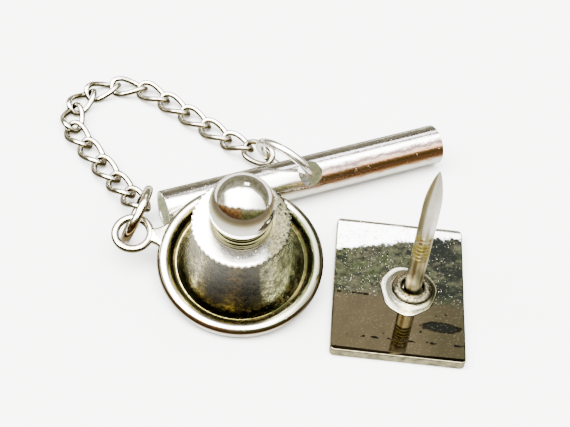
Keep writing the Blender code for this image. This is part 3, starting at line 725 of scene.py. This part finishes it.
# ---- lock inside the clutch -----------------------------------------------------------
# Machined brass sleeve and cone seat, a spring of drawn steel wire and three ground steel balls.
# All of it is hidden inside, so the CAD's own shapes carry the finish.
BRASS = metal("lock_brass", (0.66, 0.48, 0.22), (0.22, 0.14, 0.05), stain=0.4, pits=0.3, shine=0.28,
              grain=0.6, relief=0.01)
STEEL = metal("lock_steel", (0.56, 0.56, 0.57), (0.16, 0.15, 0.13), stain=0.25, pits=0.2, shine=0.18,
              grain=0.4, relief=0.005)
for name, look in (("plunger_sleeve", BRASS), ("cone_seat", BRASS), ("clutch_spring", STEEL),
                   ("lock_ball_1", STEEL), ("lock_ball_2", STEEL), ("lock_ball_3", STEEL)):
    for material_slot in frame["nodes"][name].material_slots:
        material_slot.material = look


# ---- T-bar ---------------------------------------------------------------------------------
# Polished tube rolled from sheet, with a seam, and bored through the middle for its ring.
# The brown band low on its front is painted, as the room that it mirrors.
BAR_R, BAR_WALL, BAR_L = 1.465, 0.30, 21.7
SEAM_GAP, SEAM_ANGLE = 0.12, -118
HOLE_R, HOLE_ANGLE = 0.92, 126
BAR = Matrix.Translation(JOINTS["bar_swing"]["pos_m"]) @ turn(28.13, "Z")


def bar_mesh():
    """A rolled sheet: almost a full turn, open at the seam, drawn out along X."""
    half = math.degrees(SEAM_GAP / 2 / BAR_R)
    bore_r, end = BAR_R - BAR_WALL, SEAM_ANGLE + 360
    outer = arc(0, 0, BAR_R, BAR_R, SEAM_ANGLE + half, end - half, 120)
    inner = arc(0, 0, bore_r, bore_r, end - half * 1.2, SEAM_ANGLE + half * 1.2, 120)
    mesh = slab("bar", [outer + inner], BAR_L, 0.05, 28)
    mesh.transform(Matrix(((0, 0, 1, 0), (1, 0, 0, 0), (0, 1, 0, 0), (0, 0, 0, 1))))
    return mesh


def bore(obj, radius, angle):
    """Cut a round hole across the bar, turned by angle about the bar's length."""
    bpy.ops.mesh.primitive_cylinder_add(vertices=72, radius=radius * MM, depth=4 * BAR_R * MM)
    drill = bpy.context.object
    drill.matrix_world = obj.matrix_world @ turn(angle, "X")
    modifier = obj.modifiers.new("bore", "BOOLEAN")
    modifier.object = drill
    modifier.operation = "DIFFERENCE"
    modifier.solver = "EXACT"
    bpy.context.view_layer.update()
    cut = bpy.data.meshes.new_from_object(obj.evaluated_get(bpy.context.evaluated_depsgraph_get()))
    obj.modifiers.clear()
    bpy.data.objects.remove(drill, do_unlink=True)
    obj.data = smooth(cut, 28)


def bar_paint(tree):
    """Bright tube with painted reflections of the room: brown low in front, strongest on the right half, a darker
    band above it, a pinkish grey band along the top and an olive line behind it.
    """
    place = node(tree, "ShaderNodeTexCoord").outputs["Object"]
    x, y, z = node(tree, "ShaderNodeSeparateXYZ", {"Vector": place}).outputs
    front = calc(tree, "MULTIPLY", y, -1.0)
    lift = calc(tree, "DIVIDE", calc(tree, "ARCTAN2", z, front), math.radians(1))
    fray = calc(tree, "MULTIPLY_ADD", noise(tree, place, 0.4, 6.0, 0.8, (0.4, 1.0, 1.0)), 40.0, -20.0)
    lift = calc(tree, "ADD", lift, fray)
    reach = rise(tree, x, -3.0 * MM, 1.5 * MM, 0.95)
    low = calc(tree, "MULTIPLY", band(tree, lift, 3.0, 46.0, 6.0), reach)
    high = calc(tree, "MULTIPLY", band(tree, lift, 44.0, 60.0, 6.0), reach)
    colour = mix(tree, low, (0.74, 0.72, 0.68), (0.38, 0.19, 0.095))
    # Painted reflection: a darker band above the brown.
    colour = mix(tree, high, colour, (0.060, 0.024, 0.022))
    # Painted reflection: an olive line behind the top.
    olive = band(tree, lift, 112.0, 128.0, 4.0)
    colour = mix(tree, olive, colour, (0.16, 0.15, 0.08))
    # Painted reflection: a pinkish grey band along the top.
    return mix(tree, band(tree, lift, 78.0, 104.0, 8.0), colour, (0.42, 0.39, 0.40))


def glow_inside(look):
    """A faint glow stands in for the daylight inside the tube."""
    tree = look.node_tree
    place = node(tree, "ShaderNodeTexCoord").outputs["Object"]
    _, y, z = node(tree, "ShaderNodeSeparateXYZ", {"Vector": place}).outputs
    squares = calc(tree, "ADD", calc(tree, "MULTIPLY", y, y), calc(tree, "MULTIPLY", z, z))
    off = calc(tree, "SQRT", squares)
    inside = rise(tree, off, (BAR_R - 0.06) * MM, (BAR_R - 0.16) * MM)
    cloudy = noise(tree, place, 0.7, 4.0)
    shade = mix(tree, rise(tree, cloudy, 0.4, 0.6), (0.08, 0.09, 0.045), (0.24, 0.26, 0.16))
    shader = tree.nodes["Principled BSDF"]
    put(tree, shader.inputs["Emission Color"], mix(tree, inside, (0, 0, 0), shade))
    shader.inputs["Emission Strength"].default_value = 1.0


BAR_LOOK = metal("bar_chrome", bar_paint, (0.30, 0.22, 0.14), stain=0.25, pits=0.6, shine=0.13, grain=0.6,
                 relief=0.012)
glow_inside(BAR_LOOK)
bar = piece("bar", bar_mesh(), BAR_LOOK, "toggle_bar", "toggle_bar", BAR)
bore(bar, HOLE_R, HOLE_ANGLE - 90)
crisp_flats(bar)


# ---- rings ---------------------------------------------------------------------------------
# Jump rings of polished nickel wire: one through the eyelet, one through the T-bar.
# The first is tarnished brown, with a painted highlight on top and painted shade down its flanks; the second a
# lighter satin.
LAYOUT = (-0.185, -6.304)
RING_WIRE_R = 0.31


def ring_place(at, heading, rise_deg):
    """Stand a ring over its middle, its axle turned to heading and raised by rise_deg."""
    middle = at_mm(at[0] + LAYOUT[0], at[1] + LAYOUT[1], at[2])
    return middle @ turn(heading, "Z") @ turn(90 - rise_deg, "Y")


def jump_ring(name, look, radius, at, heading, rise_deg):
    mesh = wire(name, circle(radius, 96), RING_WIRE_R, roundness=7)
    piece(name + "_wire", mesh, look, name, name, ring_place(at, heading, rise_deg))


# Tarnish with painted light: a highlight on top and painted shade down the flanks.
CLUTCH_RING_LOOK = metal("clutch_ring_worn_painted_light", lit_top_shaded_flanks((0.70, 0.67, 0.56), (0.10, 0.065, 0.028)),
                         (0.09, 0.05, 0.02), stain=0.9, pits=0.3, shine=0.10, grain=0.3, relief=0.01)
BAR_RING_LOOK = metal("bar_ring_satin", (0.80, 0.79, 0.75), (0.45, 0.42, 0.33), stain=0.3, pits=0.2,
                      shine=0.20, grain=0.4, relief=0.01)
jump_ring("clutch_ring", CLUTCH_RING_LOOK, 1.95, (-7.56, 2.585, 2.155), 172.5, 19.8)
jump_ring("bar_ring", BAR_RING_LOOK, 2.18, (2.18, 9.57, 2.295), 61.6, 25.3)


# ---- curb chain -------------------------------------------------------------------------
# Fifteen closed links of round polished nickel wire, each hooked through the next.
# Each is twisted a quarter turn so that the chain lies flat, except the last, which keeps one plane.
LINKS, PITCH, LINK_W, LINK_WIRE = 15, 2.132, 1.86, 0.42
SLACK, SQUARENESS, TWIST = 0.08, 2.6, 45
LYING_Z, START_Z, END_Z = 0.51, 1.36, 1.34
START_HEADING, END_HEADING, STRAIGHT_LINKS, BEND_PER_LINK = 129.7, -34.1, 3.976, 31.6


def chain_joints():
    """Where each link hooks the next, from the clutch ring to the bar ring."""
    heights = [LYING_Z] * (LINKS + 1)
    for k, share in enumerate((1.0, 0.45, 0.10)):
        heights[k] += (START_Z - LYING_Z) * share
    for k, share in enumerate((0.45, 1.0)):
        heights[LINKS - 1 + k] += (END_Z - LYING_Z) * share
    joints = [Vector((-7.40 + LAYOUT[0], 4.13 + LAYOUT[1], START_Z))]
    for k in range(LINKS):
        bend = min(max((k - STRAIGHT_LINKS) * BEND_PER_LINK, 0), START_HEADING - END_HEADING)
        heading = math.radians(START_HEADING - bend)
        lift = heights[k + 1] - heights[k]
        run = math.sqrt(PITCH ** 2 - lift ** 2)
        joints.append(joints[-1] + Vector((run * math.cos(heading), run * math.sin(heading), lift)))
    return joints


def link_points(start_twist, end_twist, steps=64):
    """A squared oval, twisted about its length from one end to the other."""
    half_l, half_w = (PITCH + LINK_WIRE + SLACK) / 2, (LINK_W - LINK_WIRE) / 2
    points = []
    for k in range(steps):
        a = 2 * math.pi * k / steps
        c, s = math.cos(a), math.sin(a)
        x = half_l * math.copysign(abs(c) ** (2 / SQUARENESS), c)
        y = half_w * math.copysign(abs(s) ** (2 / SQUARENESS), s)
        twist = math.radians(start_twist + (end_twist - start_twist) * (x / half_l + 1) / 2)
        points.append((x + PITCH / 2, y * math.cos(twist), y * math.sin(twist)))
    return points


# The wire is painted light: highlight on top, painted shade down the flanks, the table's reflection below.
CHAIN_LOOK = metal("chain_nickel", lit_top_shaded_flanks((0.74, 0.71, 0.62), (0.075, 0.060, 0.026)), (0.10, 0.075, 0.03),
                   stain=0.6, pits=0.4, shine=0.10, grain=0.3, relief=0.008)
hooks = chain_joints()
for k in range(LINKS):
    name = f"link_{k + 1:02d}"
    along = hooks[k + 1] - hooks[k]
    place = (at_mm(*hooks[k]) @ turn(math.degrees(math.atan2(along.y, along.x)), "Z")
             @ turn(-math.degrees(math.asin(along.z / along.length)), "Y"))
    end_twist = TWIST if k == LINKS - 1 else -TWIST
    shape = wire(name, link_points(TWIST, end_twist), LINK_WIRE / 2, roundness=5)
    piece(name, shape, CHAIN_LOOK, name, "chain_" + name, place)


# ---- table, light and camera ------------------------------------------------------------
# White paper under a soft light, in front of a plain pale backdrop.
# The metal mirrors another paper and another room, both darker and browner than the lit ones.
def table_top():
    """White paper; what the metal mirrors of it is made darker and browner as it nears the horizon."""
    bpy.ops.mesh.primitive_plane_add(size=1.2)
    top = bpy.context.object
    top.name = "table_top"
    look = bpy.data.materials.new("table_paper")
    look.use_nodes = True
    tree = look.node_tree
    shader = tree.nodes["Principled BSDF"]
    place = node(tree, "ShaderNodeTexCoord").outputs["Object"]
    axes = node(tree, "ShaderNodeSeparateXYZ", {"Vector": place}).outputs
    paper = mix(tree, noise(tree, place, 6.0), (0.86, 0.86, 0.85), (0.89, 0.89, 0.885))
    slant = node(tree, "ShaderNodeLayerWeight", {"Blend": 0.5}).outputs["Facing"]
    in_front = rise(tree, axes["Y"], 26 * MM, 12 * MM)
    mirrored = ramp(tree, calc(tree, "MULTIPLY", slant, in_front),
                    [(0.0, (0.42, 0.42, 0.40)), (0.29, (0.30, 0.295, 0.26)), (0.45, (0.19, 0.18, 0.14)),
                     (0.56, (0.080, 0.068, 0.038)), (0.72, (0.030, 0.022, 0.009)),
                     (1.0, (0.018, 0.013, 0.005))])
    in_metal = node(tree, "ShaderNodeLightPath").outputs["Is Glossy Ray"]
    put(tree, shader.inputs["Base Color"], mix(tree, in_metal, paper, mirrored))
    shader.inputs["Roughness"].default_value = 0.9
    shader.inputs["Specular IOR Level"].default_value = 0.1
    top.data.materials.append(look)


def room_light():
    """Three worlds: one lights the table, one is the pale backdrop, and one is mirrored by the metal."""
    world = bpy.data.worlds.new("room")
    bpy.context.scene.world = world
    world.use_nodes = True
    tree = world.node_tree
    way = node(tree, "ShaderNodeTexCoord").outputs["Generated"]
    axes = node(tree, "ShaderNodeSeparateXYZ", {"Vector": way}).outputs
    ahead = calc(tree, "MULTIPLY", axes["Y"], -1.0)
    over = calc(tree, "DIVIDE", calc(tree, "ARCTAN2", axes["Z"], ahead), math.pi)
    cloudy = node(tree, "ShaderNodeTexNoise", {"Vector": way, "Scale": 3.5, "Detail": 3.0}).outputs["Fac"]
    bent = calc(tree, "ADD", over, calc(tree, "MULTIPLY_ADD", cloudy, 0.10, -0.05))
    side = axes["X"]
    rest = ramp(tree, over, [(0.0, (0.26, 0.17, 0.08)), (0.13, (0.34, 0.26, 0.14)), (0.22, (1.2, 1.1, 0.8)),
                             (0.30, (2.0, 1.9, 1.6)), (0.66, (1.9, 1.8, 1.55)), (0.74, (1.0, 0.95, 0.75)),
                             (0.84, (0.62, 0.57, 0.42)), (1.0, (0.66, 0.62, 0.48))])
    box = ramp(tree, over, [(0.17, 0.0), (0.25, 0.35), (0.31, 0.72), (0.36, 1.0), (0.56, 1.0), (0.61, 0.72),
                            (0.67, 0.35), (0.72, 0.0)])
    across = ramp(tree, calc(tree, "MULTIPLY_ADD", side, 0.5, 0.5),
                  [(0.05, 0.0), (0.13, 1.0), (0.62, 1.0), (0.75, 0.72), (0.92, 0.45), (1.0, 0.3)])
    amount = calc(tree, "POWER", calc(tree, "MULTIPLY", box, across), 3.0)
    lit = mix(tree, amount, rest, (26.0, 26.0, 26.0))
    left = ramp(tree, bent, [(0.0, (0.12, 0.055, 0.02)), (0.06, (0.22, 0.105, 0.035)),
                             (0.13, (0.42, 0.20, 0.06)), (0.19, (0.55, 0.38, 0.17)), (0.23, (1.3, 1.2, 0.85)),
                             (0.66, (1.0, 0.96, 0.76)), (0.74, (0.62, 0.58, 0.42)),
                             (0.82, (0.42, 0.39, 0.26)), (1.0, (0.46, 0.43, 0.30))])
    right = ramp(tree, bent, [(0.0, (0.10, 0.10, 0.035)), (0.06, (0.17, 0.17, 0.06)),
                              (0.13, (0.30, 0.30, 0.12)), (0.19, (0.55, 0.53, 0.32)),
                              (0.23, (1.1, 1.05, 0.75)),
                              (0.66, (0.75, 0.72, 0.52)), (0.74, (0.42, 0.40, 0.26)),
                              (0.82, (0.34, 0.32, 0.20)), (1.0, (0.44, 0.42, 0.30))])
    dark = mix(tree, rise(tree, side, -0.20, 0.30), left, right)
    blotches = node(tree, "ShaderNodeTexNoise", {"Vector": way, "Scale": 7.0, "Detail": 4.0}).outputs["Fac"]
    dark = brighter(tree, dark, calc(tree, "MULTIPLY_ADD", blotches, 2.4, -0.2))
    lamp = calc(tree, "MULTIPLY", band(tree, bent, 0.235, 0.615, 0.035),
                ramp(tree, calc(tree, "MULTIPLY_ADD", side, 0.5, 0.5),
                     [(0.06, 0.0), (0.14, 1.0), (0.60, 1.0), (0.74, 0.55), (0.92, 0.20), (1.0, 0.10)]))
    colour = mix(tree, lamp, dark, (30.0, 30.0, 30.0))
    window = calc(tree, "MULTIPLY", band(tree, side, -0.01, 0.20, 0.01),
                  band(tree, over, 0.695, 0.755, 0.005))
    colour = mix(tree, window, colour, (14.0, 14.0, 13.8))
    light_path = node(tree, "ShaderNodeLightPath").outputs
    backdrop = mix(tree, light_path["Is Camera Ray"], lit, (7.5, 7.5, 7.4))
    shown = mix(tree, light_path["Is Glossy Ray"], backdrop, colour)
    put(tree, tree.nodes["Background"].inputs["Color"], shown)
    tree.nodes["Background"].inputs["Strength"].default_value = 1.0


def camera():
    """Looks down at the table from the front, a little tilted."""
    lift, tilt, distance = math.radians(46.33), math.radians(6.71), 90.22
    aim = Vector((2.446, 0.140, 0)) * MM
    back = Vector((0, -math.cos(lift), math.sin(lift)))
    right = Vector((1, 0, 0))
    up = back.cross(right)
    across = right * math.cos(tilt) + up * math.sin(tilt)
    upward = up * math.cos(tilt) - right * math.sin(tilt)
    eye = bpy.data.cameras.new("camera")
    eye.lens = 78.51
    eye.sensor_width = 36
    eye.clip_start = 0.001
    holder = bpy.data.objects.new("camera", eye)
    bpy.context.scene.collection.objects.link(holder)
    spin = Matrix((across, upward, back)).transposed().to_4x4()
    holder.matrix_world = Matrix.Translation(aim + back * distance * MM) @ spin
    bpy.context.scene.camera = holder


table_top()
room_light()
camera()
